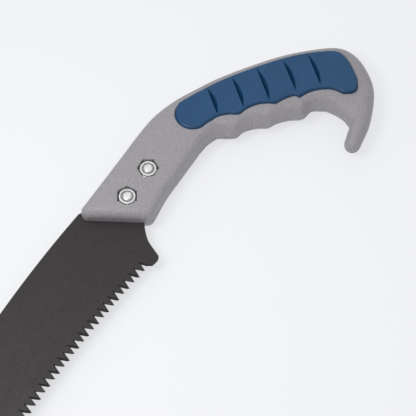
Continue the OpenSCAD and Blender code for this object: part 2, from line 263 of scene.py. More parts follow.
# Share of a ground flank at which its shoulder lies, and how far off the mid plane the edges meet
SHOULDER = 0.3
GRIND_OFFSET = 0.3
# Tip and facet of a tooth: shares of the pitch, and the facet's share of the depth
TIP_AT = 0.39
FACET_AT = 0.61
FACET_DEPTH = 0.22
# Widths of the ground flanks
REAR_BEVEL = 0.95
FRONT_BEVEL = 0.8
THIN_BEVEL = 0.5
# How far the bevels' inner corners lie below the tip, and past the facet towards the gullet
TIP_BEVEL_DROP = 0.88
THIN_BEVEL_DROP = 0.5
FACET_BEVEL_SHIFT = 0.3
# How far the flanks run past the gullet, and how much less on their inner side
REAR_OVERRUN = 1.9
FRONT_OVERRUN = 1.2
OVERRUN_BACK = 0.35
TOOTH_SET = 0.25


# ---- small helpers ----

def unit(v):
    return v / np.linalg.norm(v)


def clamp(v):
    return min(max(v, 0.0), 1.0)


def smooth(t):
    c = clamp(t)
    return c * c * (3 - 2 * c)


def ease(u, start, run):
    """Smooth step from 0 to 1 that begins at start and takes run."""
    return smooth((u - start) / run)


def power(v, p):
    return math.copysign(abs(v) ** p, v)


def spline(rows, u):
    """Smooth curve through the rows of a table, at position u counted in rows."""
    n = len(rows)
    i = min(int(math.floor(u)), n - 2)
    t = u - i
    a, b = rows[i], rows[i + 1]
    before = rows[i - 1] if i > 0 else 2 * rows[0] - rows[1]
    after = rows[i + 2] if i + 2 < n else 2 * rows[n - 1] - rows[n - 2]
    return 0.5 * (2 * a + (b - before) * t + (2 * before - 5 * a + 4 * b - after) * t * t
                  + (3 * a - before - 3 * b + after) * t ** 3)


# ---- outlines of the handle ----

def sharp_groove(u, rise):
    depth = 0.0
    for start, end, at_parting, at_top in FINGER_GROOVES:
        t = (u - start) / (end - start)
        if 0 < t < 1:
            depth += (at_parting + (at_top - at_parting) * rise) * 4 * t * (1 - t)
    return depth


def groove_depth(u, rise=0.0):
    """Depth of the finger grooves at a share of the wall's height, with their ridges slightly rounded."""
    return sum(sharp_groove(u + k * RIDGE_SOFTNESS / 2, rise) for k in (-2, -1, 0, 1, 2)) / 5


def bare_section(u):
    s = spline(STATIONS, u)
    return s[0:2], s[2:4], s[4], s[5]


def section(u):
    back, finger, half, squareness = bare_section(u)
    return back, finger + unit(back - finger) * groove_depth(u), half, squareness


def lean(u, angle):
    """How far along the handle the finger ridges have leant at an angle of the section."""
    inside = clamp(min(u - LEAN_SPAN[0], LEAN_SPAN[1] - u) / LEAN_RUN)
    return RIDGE_LEAN * inside * smooth((180 - angle) / LEAN_ANGLE)


def finger_shape(u):
    """How crisp the finger side's edge is, and how far its wall leans in."""
    leaving = 1 - ease(u, *HOOK_BLEND)
    draft = NECK_DRAFT + (GRIP_DRAFT - NECK_DRAFT) * ease(u, *GRIP_BLEND)
    return FINGER_CRISP * leaving, draft * leaving


def lip(u):
    """How far the lower half stands past the upper one at the parting line."""
    return LIP_PROUD * max(ease(u, a, LIP_RISE_RUN) * smooth((b - u) / LIP_FALL_RUN) for a, b in LIP_SPANS)


def front_half_t(d, lower):
    """Half thickness at d behind the front plane, where the upper or lower edge is still rounding."""
    run = FRONT_DEPTH if lower else FRONT_EDGE_R
    rise = HALF_T - FRONT_LEAST_HALF if lower else FRONT_EDGE_R
    return HALF_T - rise + rise * math.sqrt(1 - (1 - clamp(d / run)) ** 2)


def front_section(d, lower):
    """Section d behind the slanted front plane, where the corners are still rounding."""
    tan30 = math.tan(math.radians(30))
    back_c = BACK_CORNER + FRONT_ALONG * BACK_CORNER_R / tan30 + FRONT_INWARD * BACK_CORNER_R
    finger_c = FINGER_CORNER - FRONT_ALONG * FINGER_CORNER_R * tan30 + FRONT_INWARD * FINGER_CORNER_R
    xb = BACK_CORNER_R - d
    xf = max(FINGER_CORNER_R - d, FINGER_CORNER_R / 2)
    back = np.array([0.0, BACK_CORNER[1]])
    if d < 1.5 * BACK_CORNER_R:
        back = back_c - FRONT_INWARD * xb - FRONT_ALONG * math.sqrt(max(BACK_CORNER_R ** 2 - xb ** 2, 0))
    arc = finger_c - FRONT_INWARD * xf + FRONT_ALONG * math.sqrt(FINGER_CORNER_R ** 2 - xf ** 2)
    run = max(0.0, (d - FINGER_CORNER_R / 2) / (FRONT_DEPTH - FINGER_CORNER_R / 2))
    finger = arc + (STATIONS[0][2:4] - arc) * run
    return back, finger, front_half_t(d, lower), STATIONS[0][5]


def tip_section(angle):
    """Section on the rounded end of the hook, at an angle round the cap."""
    a = math.radians(angle)
    back, finger, half, squareness = section(LAST)
    reach = (back - finger) / 2
    centre = (back + finger) / 2 + TIP_LENGTH * np.array([reach[1], -reach[0]]) * math.sin(a)
    return centre + reach * math.cos(a), centre - reach * math.cos(a), half * math.cos(a), squareness


def section_point(s, angle, cuts=(0.0, 0.0), shape=(0.0, 0.0)):
    """Point on a section: angle 0 is its back edge, 180 its finger edge.

    The finger side is drawn in by cuts, the groove's depth at the parting face and at the top.
    """
    back, finger, half, squareness = s
    crisp, draft = shape
    a = math.radians(angle)
    bend = squareness + (crisp if angle > 90 else 0)
    reach = (back - finger) / 2
    across = power(math.cos(a), 2 / bend)
    rise = 0.0 if angle in (0, 180) else abs(math.sin(a)) ** (2 / bend)
    inward = (cuts[0] + (cuts[1] - cuts[0] + draft) * rise) * (1 - across) / 2
    xy = (back + finger) / 2 + reach * across + unit(reach) * inward
    return np.array([xy[0], xy[1], half * rise])


def with_seam(points, half, proud=0.0):
    """Rounds a ring of points at the parting face, and moves its finger side out by proud."""
    points = [p.copy() for p in points]
    outward = unit(points[-1][:2] - points[0][:2])
    if proud:
        for p in points[len(points) * 2 // 3:]:
            p[:2] += outward * proud * clamp(1 - p[2] / (LIP_TOP * half)) ** 0.5
    share = min(1, half / SEAM_FULL_HALF)
    inset = SEAM_INSET * share
    height = SEAM_HEIGHT * share
    first, last = points[0], points[-1]
    low_first = np.array([*(first[:2] + outward * inset), 0.0])
    low_last = np.array([*(last[:2] - outward * inset), 0.0])
    first[2] = last[2] = height
    return [low_first, first, *points[1:-1], last, low_last]


def handle_rings(lower):
    """Rings of points round half the handle: its rounded front, its length, and the hook's rounded end."""
    rings = []
    for d in FRONT_DEPTHS:
        s = front_section(d, lower)
        rings.append(with_seam([section_point(s, a, shape=finger_shape(0)) for a in ANGLES], s[2]))
    for k in range(LAST * RINGS_PER_STATION + 1):
        u = k / RINGS_PER_STATION
        cuts = groove_depth(u), groove_depth(u, 1)
        points = [section_point(bare_section(u + lean(u, a)), a, cuts, finger_shape(u)) for a in ANGLES]
        rings.append(with_seam(points, HALF_T, lip(u) if lower else 0.0))
    for angle in TIP_ANGLES:
        s = tip_section(angle)
        rings.append(with_seam([section_point(s, a) for a in ANGLES], s[2]))
    return rings


def edge_normal(u, edge):
    """Unit normal of an edge of the handle, pointing into it: edge 0 is the back, 1 the finger side."""
    t = unit(bare_section(u + 0.05)[edge] - bare_section(u - 0.05)[edge])
    return np.array([t[1], -t[0]]) if edge == 0 else np.array([-t[1], t[0]])


def margin(u, base, changes):
    """Margin of the inlay to the handle's edge at a station."""
    return base + sum(change * ease(u, start, run) for start, run, change in changes)


def back_line(u, inset):
    return bare_section(u)[0] + edge_normal(u, 0) * (margin(u, *BACK_MARGIN) + inset)


def finger_line(u, inset):
    v = u + RIDGE_LEAN
    return bare_section(v)[1] + edge_normal(v, 1) * (margin(u, *FINGER_MARGIN) + inset + groove_depth(u, 1))


def inlay_outline(inset=0.0):
    """Outline of the grip inlay, drawn in by an inset: it follows the handle and has a round front."""
    r = INLAY_FRONT_R - inset
    x, y = INLAY_FRONT_CENTRE
    points = [back_line(u, inset) for u in INLAY_BACK_STATIONS]
    points += [np.array(at) + inset * np.array(move) for at, move in INLAY_CORNER]
    points += [finger_line(u, inset) for u in INLAY_FINGER_STATIONS]
    points += [(x - r * math.cos(a), y + r * math.sin(a)) for a in np.radians(INLAY_FRONT_ANGLES)]
    return np.array([np.asarray(p, float) for p in points])


# ---- solids as (points, faces) ----

def merge(*solids):
    points, faces = [], []
    for more_points, more_faces in solids:
        base = len(points)
        points += [tuple(p) for p in more_points]
        faces += [[base + i for i in f] for f in more_faces]
    return points, faces


def bands(rows, n, closed=False):
    """Faces between closed rows of n points each; closed also joins the last row to the first."""
    faces = []
    for j in range(rows if closed else rows - 1):
        low, high = j * n, (j + 1) % rows * n
        faces += [[low + k, low + (k + 1) % n, high + (k + 1) % n, high + k] for k in range(n)]
    return faces


def end_faces(rows, n):
    return [list(range(n)), [(rows - 1) * n + k for k in reversed(range(n))]]


def stack(levels):
    """Closed solid through outlines of equal length, each with its height."""
    rows, n = len(levels), len(levels[0][0])
    points = [(x, y, z) for outline, z in levels for x, y in outline]
    return points, bands(rows, n) + end_faces(rows, n)


def lathe(profile, centre=(0, 0), segments=72, ring=False):
    """Turns (radius, height) points round a vertical axis; ring closes the profile on itself."""
    points = [(x, y, z) for r, z in profile for x, y in circle(r, centre, segments)]
    rows = len(profile)
    return points, bands(rows, segments, ring) + ([] if ring else end_faces(rows, segments))


def circle(r, centre, n=48):
    angles = [2 * math.pi * k / n for k in range(n)]
    return [(centre[0] + r * math.cos(a), centre[1] + r * math.sin(a)) for a in angles]


def hexagon(across_flats, turn, centre):
    r = across_flats / 2 / math.cos(math.radians(30))
    corners = [math.radians(turn + 60 * k) for k in range(6)]
    return [(centre[0] + r * math.cos(a), centre[1] + r * math.sin(a)) for a in corners]


def loft(rings):
    """Closed solid through rings of points whose first and last points lie on the parting face."""
    w = len(rings[0])
    points = [tuple(p) for ring in rings for p in ring]
    faces = []
    for i in range(len(rings) - 1):
        low, high = i * w, (i + 1) * w
        faces += [[low + k, low + k + 1, high + k + 1, high + k] for k in range(w - 1)]
        faces.append([low, high, high + w - 1, low + w - 1])
    for base in (0, (len(rings) - 1) * w):
        for k in range(w // 2):
            strip = [base + k, base + k + 1, base + w - 2 - k, base + w - 1 - k]
            faces.append(list(dict.fromkeys(strip)))
    return points, [f for f in faces if len(f) > 2]


def to_side(solid, lower):
    """The solid itself for the upper half, or its mirror image in the parting face for the lower one."""
    points, faces = solid
    return ([(x, y, -z) for x, y, z in points], faces) if lower else solid


def make_object(name, solid):
    mesh = bpy.data.meshes.new(name)
    mesh.from_pydata([tuple(map(float, p)) for p in solid[0]], [], [list(f) for f in solid[1]])
    bm = bmesh.new()
    bm.from_mesh(mesh)
    bmesh.ops.remove_doubles(bm, verts=bm.verts, dist=WELD)
    bmesh.ops.dissolve_degenerate(bm, edges=bm.edges, dist=WELD)
    bmesh.ops.recalc_face_normals(bm, faces=bm.faces)
    bm.to_mesh(mesh)
    bm.free()
    obj = bpy.data.objects.new(name, mesh)
    bpy.context.collection.objects.link(obj)
    return obj


def cut(obj, *solids):
    """Takes each solid out of obj's mesh."""
    for solid in solids:
        cutter = make_object("cutter", solid)
        modifier = obj.modifiers.new("cut", "BOOLEAN")
        modifier.operation = "DIFFERENCE"
        modifier.solver = "EXACT"
        modifier.object = cutter
        depsgraph = bpy.context.evaluated_depsgraph_get()
        cut_mesh = bpy.data.meshes.new_from_object(obj.evaluated_get(depsgraph))
        obj.modifiers.clear()
        old = obj.data
        obj.data = cut_mesh
        bpy.data.meshes.remove(old)
        bpy.data.objects.remove(cutter)
    return obj


def keep_inside_cad(mesh):
    """Holds every vertex inside the box of the CAD frame."""
    points = np.empty(3 * len(mesh.vertices), np.float32)
    mesh.vertices.foreach_get("co", points)
    inside = np.clip(points.reshape(-1, 3), *np.array(cad_box, np.float32))
    mesh.vertices.foreach_set("co", inside.ravel())


def place(obj, node, slot, *materials, sharp=35):
    """Moves a piece from millimetres to its place in the frame and makes it stand for its CAD node."""
    obj.data.transform(Matrix.Translation(ORIGIN) @ Matrix.Scale(MM, 4))
    keep_inside_cad(obj.data)
    obj.data.materials.clear()
    for material in materials:
        obj.data.materials.append(material)
    for polygon in obj.data.polygons:
        polygon.use_smooth = True
    obj.data.set_sharp_from_angle(angle=math.radians(sharp))
    weighted = obj.modifiers.new("weighted_normals", "WEIGHTED_NORMAL")
    weighted.keep_sharp = True
    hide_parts(node)
    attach(obj, "root")
    return obj


# ---- materials ----

class Nodes:
    """Short way to add and join shader nodes of one material."""

    def __init__(self, name):
        self.material = bpy.data.materials.new(name)
        self.material.use_nodes = True
        self.tree = self.material.node_tree
        self.shader = self.tree.nodes["Principled BSDF"]
        self.where = self.tree.nodes.new("ShaderNodeTexCoord").outputs["Object"]

    def add(self, kind, **inputs):
        node = self.tree.nodes.new(kind)
        for key, value in inputs.items():
            self.set(node.inputs[key.replace("_", " ")], value)
        return node

    def set(self, socket, value):
        if isinstance(value, bpy.types.NodeSocket):
            self.tree.links.new(value, socket)
        else:
            socket.default_value = value

    def noise(self, size_mm, detail=2.0, roughness=0.5, distortion=0.0):
        """Noise whose features are about size_mm across."""
        node = self.add("ShaderNodeTexNoise", Vector=self.where, Scale=1 / (size_mm * MM), Detail=detail,
                        Roughness=roughness, Distortion=distortion)
        return node.outputs["Fac"]

    def scratches(self, *sizes_mm):
        """Noise stretched to these sizes along X, Y and Z."""
        scale = [1 / (size * MM) for size in sizes_mm]
        stretched = self.add("ShaderNodeMapping", Vector=self.where, Scale=scale).outputs["Vector"]
        return self.add("ShaderNodeTexNoise", Vector=stretched, Scale=1, Detail=2).outputs["Fac"]

    def ramp(self, factor, *stops):
        """Colour ramp; each stop is (position, colour or grey value)."""
        node = self.add("ShaderNodeValToRGB", Fac=factor)
        ramp = node.color_ramp
        while len(ramp.elements) < len(stops):
            ramp.elements.new(0.5)
        for element, (position, colour) in zip(ramp.elements, stops):
            element.position = position
            element.color = (*colour, 1) if isinstance(colour, tuple) else (colour, colour, colour, 1)
        return node.outputs["Color"]

    def bump(self, height, strength, distance_mm, normal=None):
        node = self.add("ShaderNodeBump", Height=height, Strength=strength, Distance=distance_mm * MM)
        if normal is not None:
            self.set(node.inputs["Normal"], normal)
        return node.outputs["Normal"]

    def finish(self, **inputs):
        for key, value in inputs.items():
            self.set(self.shader.inputs[key.replace("_", " ")], value)
        return self.material


def handle_plastic():
    """Grey moulded plastic with a fine spark-eroded grain."""
    n = Nodes("grey_grained_plastic")
    grain = n.noise(size_mm=0.5, detail=3, roughness=0.65)
    coarse = n.noise(size_mm=1.0, detail=2)
    mottle = n.noise(size_mm=0.7, detail=3)
    colour = n.ramp(mottle, (0.35, (0.285, 0.272, 0.290)), (0.65, (0.400, 0.384, 0.404)))
    rough = n.ramp(coarse, (0.3, 0.42), (0.7, 0.52))
    normal = n.bump(coarse, strength=0.55, distance_mm=0.12)
    normal = n.bump(grain, strength=1.0, distance_mm=0.12, normal=normal)
    return n.finish(Base_Color=colour, Roughness=rough, Normal=normal)


def grip_plastic():
    """Deep blue satin plastic with faint uneven gloss."""
    n = Nodes("blue_satin_plastic")
    cloud = n.noise(size_mm=14, detail=3, roughness=0.55, distortion=0.6)
    colour = n.ramp(cloud, (0.3, (0.003, 0.060, 0.160)), (0.7, (0.006, 0.070, 0.182)))
    rough = n.ramp(cloud, (0.3, 0.19), (0.7, 0.30))
    normal = n.bump(n.noise(size_mm=11, detail=2), strength=0.7, distance_mm=0.3)
    normal = n.bump(n.noise(size_mm=0.5, detail=2), strength=0.12, distance_mm=0.02, normal=normal)
    return n.finish(Base_Color=colour, Roughness=rough, Normal=normal)


def painted_shade_flank_plastic():
    """Darker blue with painted shade for the moulded flanks and grooves of the grip pads, with a duller
    gloss.
    """
    n = Nodes("blue_flank_painted_shade")
    cloud = n.noise(size_mm=3, detail=3)
    # Painted shade: this base colour is darker than the pad's top and stands in for the shade on its steep
    # faces
    colour = n.ramp(cloud, (0.3, (0.002, 0.044, 0.116)), (0.7, (0.003, 0.052, 0.134)))
    rough = n.ramp(cloud, (0.3, 0.34), (0.7, 0.46))
    normal = n.bump(n.noise(size_mm=0.5, detail=2), strength=0.2, distance_mm=0.03)
    return n.finish(Base_Color=colour, Roughness=rough, Normal=normal)


def blade_coating():
    """Matte black coat with very fine light and warm specks."""
    n = Nodes("black_blade_coat")
    speck = n.noise(size_mm=0.6, detail=3, roughness=0.7)
    colour = n.ramp(speck, (0.3, (0.010, 0.0075, 0.0095)), (0.55, (0.020, 0.0155, 0.0185)),
                    (0.72, (0.060, 0.045, 0.052)))
    rough = n.ramp(n.noise(size_mm=5, detail=3), (0.3, 0.5), (0.7, 0.6))
    normal = n.bump(speck, strength=0.3, distance_mm=0.03)
    return n.finish(Base_Color=colour, Roughness=rough, Normal=normal, Metallic=0.0)


def zinc_steel():
    """Bright zinc plate with fine scratches."""
    n = Nodes("bright_zinc_plate")
    scratches = n.scratches(1 / 6, 1 / 6, 1 / 0.9)
    colour = n.ramp(n.noise(size_mm=1.6, detail=3), (0.3, (0.88, 0.88, 0.87)), (0.7, (0.98, 0.975, 0.96)))
    rough = n.ramp(scratches, (0.3, 0.28), (0.7, 0.40))
    normal = n.bump(scratches, strength=0.25, distance_mm=0.02)
    return n.finish(Base_Color=colour, Roughness=rough, Normal=normal, Metallic=1.0)


def insert_nylon():
    """Pale blue-grey nylon of the locking rings."""
    n = Nodes("nylon_ring")
    cloud = n.noise(size_mm=1.2, detail=3)
    colour = n.ramp(cloud, (0.3, (0.28, 0.295, 0.295)), (0.7, (0.37, 0.385, 0.385)))
    rough = n.ramp(cloud, (0.3, 0.35), (0.7, 0.5))
    normal = n.bump(n.noise(size_mm=0.4), strength=0.2, distance_mm=0.03)
    return n.finish(Base_Color=colour, Roughness=rough, Normal=normal)


# ---- handle halves ----

def bolt_places():
    return [(i * BOLT_SPACING, 0.0) for i in (0, 1)]


def point_across(u, share):
    """Point at a station, at a share of the way from the back edge to the finger edge."""
    back, finger = section(u)[:2]
    return back * (1 - share) + finger * share


def upright(outline, low, high):
    """Straight solid between two heights."""
    return stack([(outline, low), (outline, high)])


def hollow(start, end):
    """Space between two moulded ribs, open at the parting face."""
    us = np.linspace(start, end, 5)
    near = [point_across(u, HOLLOW_WALL) for u in us]
    far = [point_across(u, 1 - HOLLOW_WALL) for u in reversed(us)]
    return upright(near + far, -OVERCUT, SEAT_Z - HOLLOW_SKIN)


def pocket(i, lower):
    """Nut pocket of the upper half or round counterbore of the lower one, with a chamfered mouth."""
    centre = bolt_places()[i]
    if lower:
        floor_z = WASHER_SEAT_Z
        wall, mouth = [circle(COUNTERBORE_R + grow, centre, 96) for grow in (0, MOUTH_WIDE)]
    else:
        floor_z = NUT_SEAT_Z
        wall, mouth = [hexagon(POCKET_AF + 2 * grow, NUT_TURNS[i], centre) for grow in (0, MOUTH_WIDE)]
    return stack([(wall, floor_z), (wall, HALF_T - MOUTH_DEEP), (mouth, HALF_T + MOUTH_DEEP)])


def handle_half(lower, material):
    """Shell of one half, with its inlay seat, pockets, rib hollows, blade slot and holes cut out."""
    side = "lower" if lower else "upper"
    obj = make_object(side + "_handle_shell", to_side(loft(handle_rings(lower)), lower))
    outer = [upright(inlay_outline(-SEAT_GAP), SEAT_Z, HALF_T + 2 * OVERCUT)]
    outer += [pocket(i, lower) for i in (0, 1)]
    inner = [hollow(*span) for span in HOLLOW_SPANS]
    slot = [*SLOT_BACK, *TANG, *HEEL_SCOOP[:2], SLOT_FRONT]
    inner.append(upright(slot, -OVERCUT, BLADE_T / 2 + TANG_GAP))
    through = [upright(circle(BOLT_R + BOLT_GAP, c), -2 * HALF_T, 2 * HALF_T) for c in bolt_places()]
    for centre in [point_across(u, 0.5) for u in SCREW_STATIONS]:
        if lower:
            through.append(upright(circle(SCREW_CLEAR_R, centre, 24), SCREW_HOLE_LOW, OVERCUT))
        else:
            through.append(upright(circle(SCREW_PILOT_R, centre, 24), -OVERCUT, SCREW_HOLE_HIGH))
    if not lower:
        peg_holes = [circle(PEG_HOLE_R, point_across(u, 0.5)) for u in PEG_STATIONS]
        inner += [upright(hole, -OVERCUT, PEG_HOLE_DEEP) for hole in peg_holes]
    cut(obj, to_side(merge(*outer), lower), to_side(merge(*inner), lower), merge(*through))
    return place(obj, side + "_handle_half", "handle_plastic", material)


# ---- grip inlays ----

def lens_cutter(start, end):
    """Disc with one flat side that sinks a groove with a straight edge and a curved one."""
    a, b = np.array(start, float), np.array(end, float)
    length = np.linalg.norm(b - a)
    along = unit(b - a)
    side = np.array([-along[1], along[0]])
    r = (length ** 2 / 4 + LENS_DEEP ** 2) / (2 * LENS_DEEP)
    inner = r - LENS_CUTTER_TALL
    profile = [(inner, -LENS_HALF_FLOOR), (r, -LENS_HALF_FLOOR), (r, LENS_HALF_FLOOR),
               (inner, LENS_HALF_FLOOR + LENS_CUTTER_TALL * LENS_SLOPE)]
    top = INLAY_TOP + r - LENS_DEEP
    points = []
    for radius, out in profile:
        for k in range(LENS_SEGMENTS):
            t = 2 * math.pi * k / LENS_SEGMENTS
            xy = (a + b) / 2 + along * radius * math.sin(t) + side * out
            points.append((xy[0], xy[1], top - radius * math.cos(t)))
    return points, bands(len(profile), LENS_SEGMENTS, closed=True)


def grip_inlay(lower, face, flank):
    """Blue pad with a rounded rim and lens grooves; its steep faces take the darker material with painted
    shade.
    """
    side = "lower" if lower else "upper"
    rim = [(0, SEAT_Z), (0, RIM_Z)]
    for k in range(1, RIM_STEPS + 1):
        a = math.radians(90 * k / RIM_STEPS)
        rim.append((RIM_WIDE * (1 - math.cos(a)), RIM_Z + (INLAY_TOP - RIM_Z) * math.sin(a)))
    pad = stack([(inlay_outline(inset), z) for inset, z in rim])
    obj = make_object(side + "_grip_pad", to_side(pad, lower))
    cut(obj, to_side(merge(*[lens_cutter(*line) for line in LENSES]), lower))
    place(obj, side + "_grip_inlay", "grip_plastic", face, flank)
    for polygon in obj.data.polygons:
        # Steep faces get the second material, a darker blue with painted shade
        polygon.material_index = 1 if abs(polygon.normal.z) < PAINTED_SHADE_TILT else 0
    return obj


# ---- blade ----

def edge_point(angle, r):
    return EDGE_CENTRE + r * np.array([math.sin(angle), math.cos(angle)])


def arc_points(centre, r, start, end, steps):
    return [centre + r * np.array([math.sin(a), math.cos(a)]) for a in np.linspace(start, end, steps + 1)]


class BladeRim:
    """Edge of the blade as columns of points: top face, shoulder, middle, shoulder, bottom face."""

    def __init__(self):
        self.columns = []

    def add(self, at, top, bottom, mid_z=0.0, lift=0.0, chamfered=False):
        """Adds a column at a point of the outline, with the points where its slopes reach the two faces."""
        at, top, bottom = (np.asarray(p, float) for p in (at, top, bottom))
        half = BLADE_T / 2
        share = 1 if chamfered else SHOULDER
        shoulder_top = top + (at - top) * share
        shoulder_bottom = bottom + (at - bottom) * share
        drop = CHAMFER_DROP if chamfered else SHOULDER * (half - mid_z)
        rise = CHAMFER_DROP if chamfered else SHOULDER * (half + mid_z)
        self.columns.append([(*top, half + lift), (*shoulder_top, half - drop + lift), (*at, mid_z + lift),
                             (*shoulder_bottom, rise - half + lift), (*bottom, lift - half)])

    def solid(self):
        rows = len(self.columns[0])
        points = [p for column in self.columns for p in column]
        n = len(self.columns)
        faces = []
        for k in range(n):
            a, b = k * rows, (k + 1) % n * rows
            faces += [[a + j, b + j, b + j + 1, a + j + 1] for j in range(rows - 1)]
        faces.append([k * rows for k in range(n)])
        faces.append([k * rows + rows - 1 for k in reversed(range(n))])
        return points, faces


def plain_edge(rim, outline):
    """Adds an outline without teeth, with a small chamfer on both faces."""
    outline = [np.asarray(p, float) for p in outline]
    for i, p in enumerate(outline):
        before, after = outline[max(i - 1, 0)], outline[min(i + 1, len(outline) - 1)]
        t = unit(after - before)
        inward = np.array([t[1], -t[0]]) * EDGE_CHAMFER
        rim.add(p, p + inward, p + inward, chamfered=True)


def inward_of(start, end):
    """Unit normal of a cut from start to end, pointing into the tooth it belongs to."""
    t = unit(end - start)
    return np.array([t[1], -t[0]])


def gullet(rim, before, at, after, prev_on_top, mid_prev, mid_next, has_next=True):
    """Adds a gullet point: the ground flank that overruns it on each face, and a plain corner beside it."""
    rear = unit(at - before)
    rear_in = inward_of(before, at)
    front = unit(at - after)
    front_in = inward_of(at, after)
    overrun = [at + rear_in * REAR_BEVEL + rear * (REAR_OVERRUN - OVERRUN_BACK),
               at + rear * REAR_OVERRUN, at, at]
    if has_next:
        start = [at, at, at + front * FRONT_OVERRUN,
                 at + front_in * FRONT_BEVEL + front * (FRONT_OVERRUN - OVERRUN_BACK)]
    else:
        start = [at] * 4
    top, bottom = (overrun, start) if prev_on_top else (start, overrun)
    for k in range(4):
        rim.add(at, top[k], bottom[k], mid_prev if k < 2 else mid_next)


def saw_teeth(rim, heel_end):
    """Adds the teeth: their flanks are ground from the top face and the bottom face in turn."""
    pitch = TOOTH_PITCH / EDGE_R
    gullet_r = EDGE_R + TOOTH_DEPTH
    first = math.asin((FIRST_GULLET_X - EDGE_CENTRE[0]) / gullet_r)
    before = np.asarray(heel_end, float)
    mid = {True: -GRIND_OFFSET, False: GRIND_OFFSET}
    for i in range(TOOTH_COUNT):
        a = first - i * pitch
        start = edge_point(a, gullet_r)
        tip = edge_point(a - TIP_AT * pitch, EDGE_R)
        facet = edge_point(a - FACET_AT * pitch, EDGE_R + FACET_DEPTH * TOOTH_DEPTH)
        end = edge_point(a - pitch, gullet_r)
        on_top = i % 2 == 1
        lift = -TOOTH_SET if on_top else TOOTH_SET
        gullet(rim, before, start, tip, not on_top, mid[not on_top], mid[on_top])
        front_in, rear_in = inward_of(start, tip), inward_of(facet, end)
        full = [tip + front_in * FRONT_BEVEL - unit(tip - start) * TIP_BEVEL_DROP,
                facet + rear_in * REAR_BEVEL + unit(end - facet) * FACET_BEVEL_SHIFT]
        thin = [tip + front_in * THIN_BEVEL - unit(tip - start) * THIN_BEVEL_DROP, facet]
        top, bottom = (full, thin) if on_top else (thin, full)
        rim.add(tip, top[0], bottom[0], mid[on_top], lift)
        rim.add(facet, top[1], bottom[1], mid[on_top], lift)
        before = facet
    end = edge_point(first - TOOTH_COUNT * pitch, gullet_r)
    gullet(rim, before, end, end + np.array([-1.0, 0.0]), True, mid[True], 0.0, has_next=False)
    return end


def blade(material):
    """Curved blade with its heel, teeth, nose and tang, and the two bolt holes."""
    rim = BladeRim()
    scoop = [spline(np.array(HEEL_SCOOP, float), u) for u in np.linspace(0, len(HEEL_SCOOP) - 1, 21)]
    lobe = [spline(np.array(HEEL_LOBE[:4], float), u) for u in np.linspace(0, 3, 13)]
    plain_edge(rim, [*scoop, *lobe, HEEL_LOBE[4]])
    heel_end = np.array(HEEL_LOBE[5], float)
    heel_in = inward_of(heel_end, heel_end + np.array(HEEL_RISE))
    rim.add(heel_end, heel_end + heel_in * REAR_BEVEL, heel_end, -GRIND_OFFSET)
    end = saw_teeth(rim, heel_end)
    nose_a = math.asin((end[0] + NOSE_PAST_TEETH - SPINE_CENTRE[0]) / SPINE_R)
    nose_c = SPINE_CENTRE + (SPINE_R - NOSE_R) * np.array([math.sin(nose_a), math.cos(nose_a)])
    nose = arc_points(nose_c, NOSE_R, math.radians(NOSE_START), nose_a, 28)
    tang_a = math.asin((SPINE_END_X - SPINE_CENTRE[0]) / SPINE_R)
    spine = arc_points(SPINE_CENTRE, SPINE_R, nose_a, tang_a, 90)
    plain_edge(rim, [*nose, *spine[1:], *TANG])
    obj = make_object("curved_saw_blade", rim.solid())
    cut(obj, merge(*[lathe([(BOLT_R, -3), (BOLT_R, 3)], c) for c in bolt_places()]))
    return place(obj, "saw_blade", "blade_coating", material, sharp=22)


# ---- fasteners ----

def rounded(r, z, fillet, up=True, steps=5):
    """Profile points of a fillet that ends a cylinder of radius r at height z."""
    points = []
    for k in range(steps + 1):
        a = math.radians(90 * k / steps)
        dz = fillet * (1 - math.sin(a))
        points.append((r - fillet * (1 - math.cos(a)), z - dz if up else z + dz))
    return points if up else points[::-1]


def nut_solid(i):
    """Chamfered hexagon, and a rolled crown that holds the nylon ring."""
    x, y = bolt_places()[i]
    base, top = NUT_SEAT_Z, NUT_SEAT_Z + NUT_H
    hex_top = top - CROWN_H
    crown_r, bore_r = NUT_AF / 2, BOLT_R + BORE_GAP
    # A radius of None follows the hexagon
    profile = [(bore_r, base), (crown_r - 0.4, base), (None, base + 0.35), (None, hex_top),
               (crown_r - 0.25, hex_top + 0.25), (crown_r, hex_top + 0.5), (crown_r, top - 0.4),
               (crown_r - 0.06, top - 0.18), (crown_r - 0.2, top - 0.04), (crown_r - 0.4, top),
               (CROWN_LIP_R + 0.15, top), (CROWN_LIP_R, top - 0.15), (CROWN_LIP_R, top - RING_SEAT_DEEP),
               (bore_r, top - RING_SEAT_DEEP)]
    points = []
    for r, z in profile:
        for k in range(NUT_SEGMENTS):
            a = 2 * math.pi * k / NUT_SEGMENTS
            radius, height = r, z
            if r is None:
                from_flat = (math.degrees(a) - NUT_TURNS[i]) % 60 - 30
                radius = NUT_AF / 2 / math.cos(math.radians(from_flat))
                chamfer = max(radius - NUT_AF / 2 - 0.1, 0) * math.tan(math.radians(30))
                height = z - chamfer if z == hex_top else z + chamfer
            points.append((x + radius * math.cos(a), y + radius * math.sin(a), height))
    return points, bands(len(profile), NUT_SEGMENTS, closed=True)


def lock_nut(i, material):
    obj = make_object(ENDS[i] + "_crowned_nut", nut_solid(i))
    return place(obj, ENDS[i] + "_lock_nut", "zinc_steel", material, sharp=28)


def nut_insert(i, material):
    """Nylon ring inside the nut's crown."""
    base = NUT_SEAT_Z + NUT_H - RING_SEAT_DEEP
    profile = [(BOLT_R + BORE_GAP, base), (RING_R, base), (RING_R, base + 0.85), (RING_R - 0.15, base + 1.05),
               (RING_R - 0.45, base + 1.1), (BOLT_R + 0.1, base + 0.95)]
    obj = make_object(ENDS[i] + "_nylon_ring", lathe(profile, bolt_places()[i], ring=True))
    return place(obj, ENDS[i] + "_nut_insert", "insert_nylon", material)


def thread(start, end, pitch=1.0, deep=0.3):
    """Profile of thread rings along a shank."""
    points = []
    z = start
    while z + pitch <= end:
        points += [(BOLT_R, z), (BOLT_R, z + pitch * 0.15), (BOLT_R - deep, z + pitch * 0.5),
                   (BOLT_R - deep, z + pitch * 0.6)]
        z += pitch
    return points


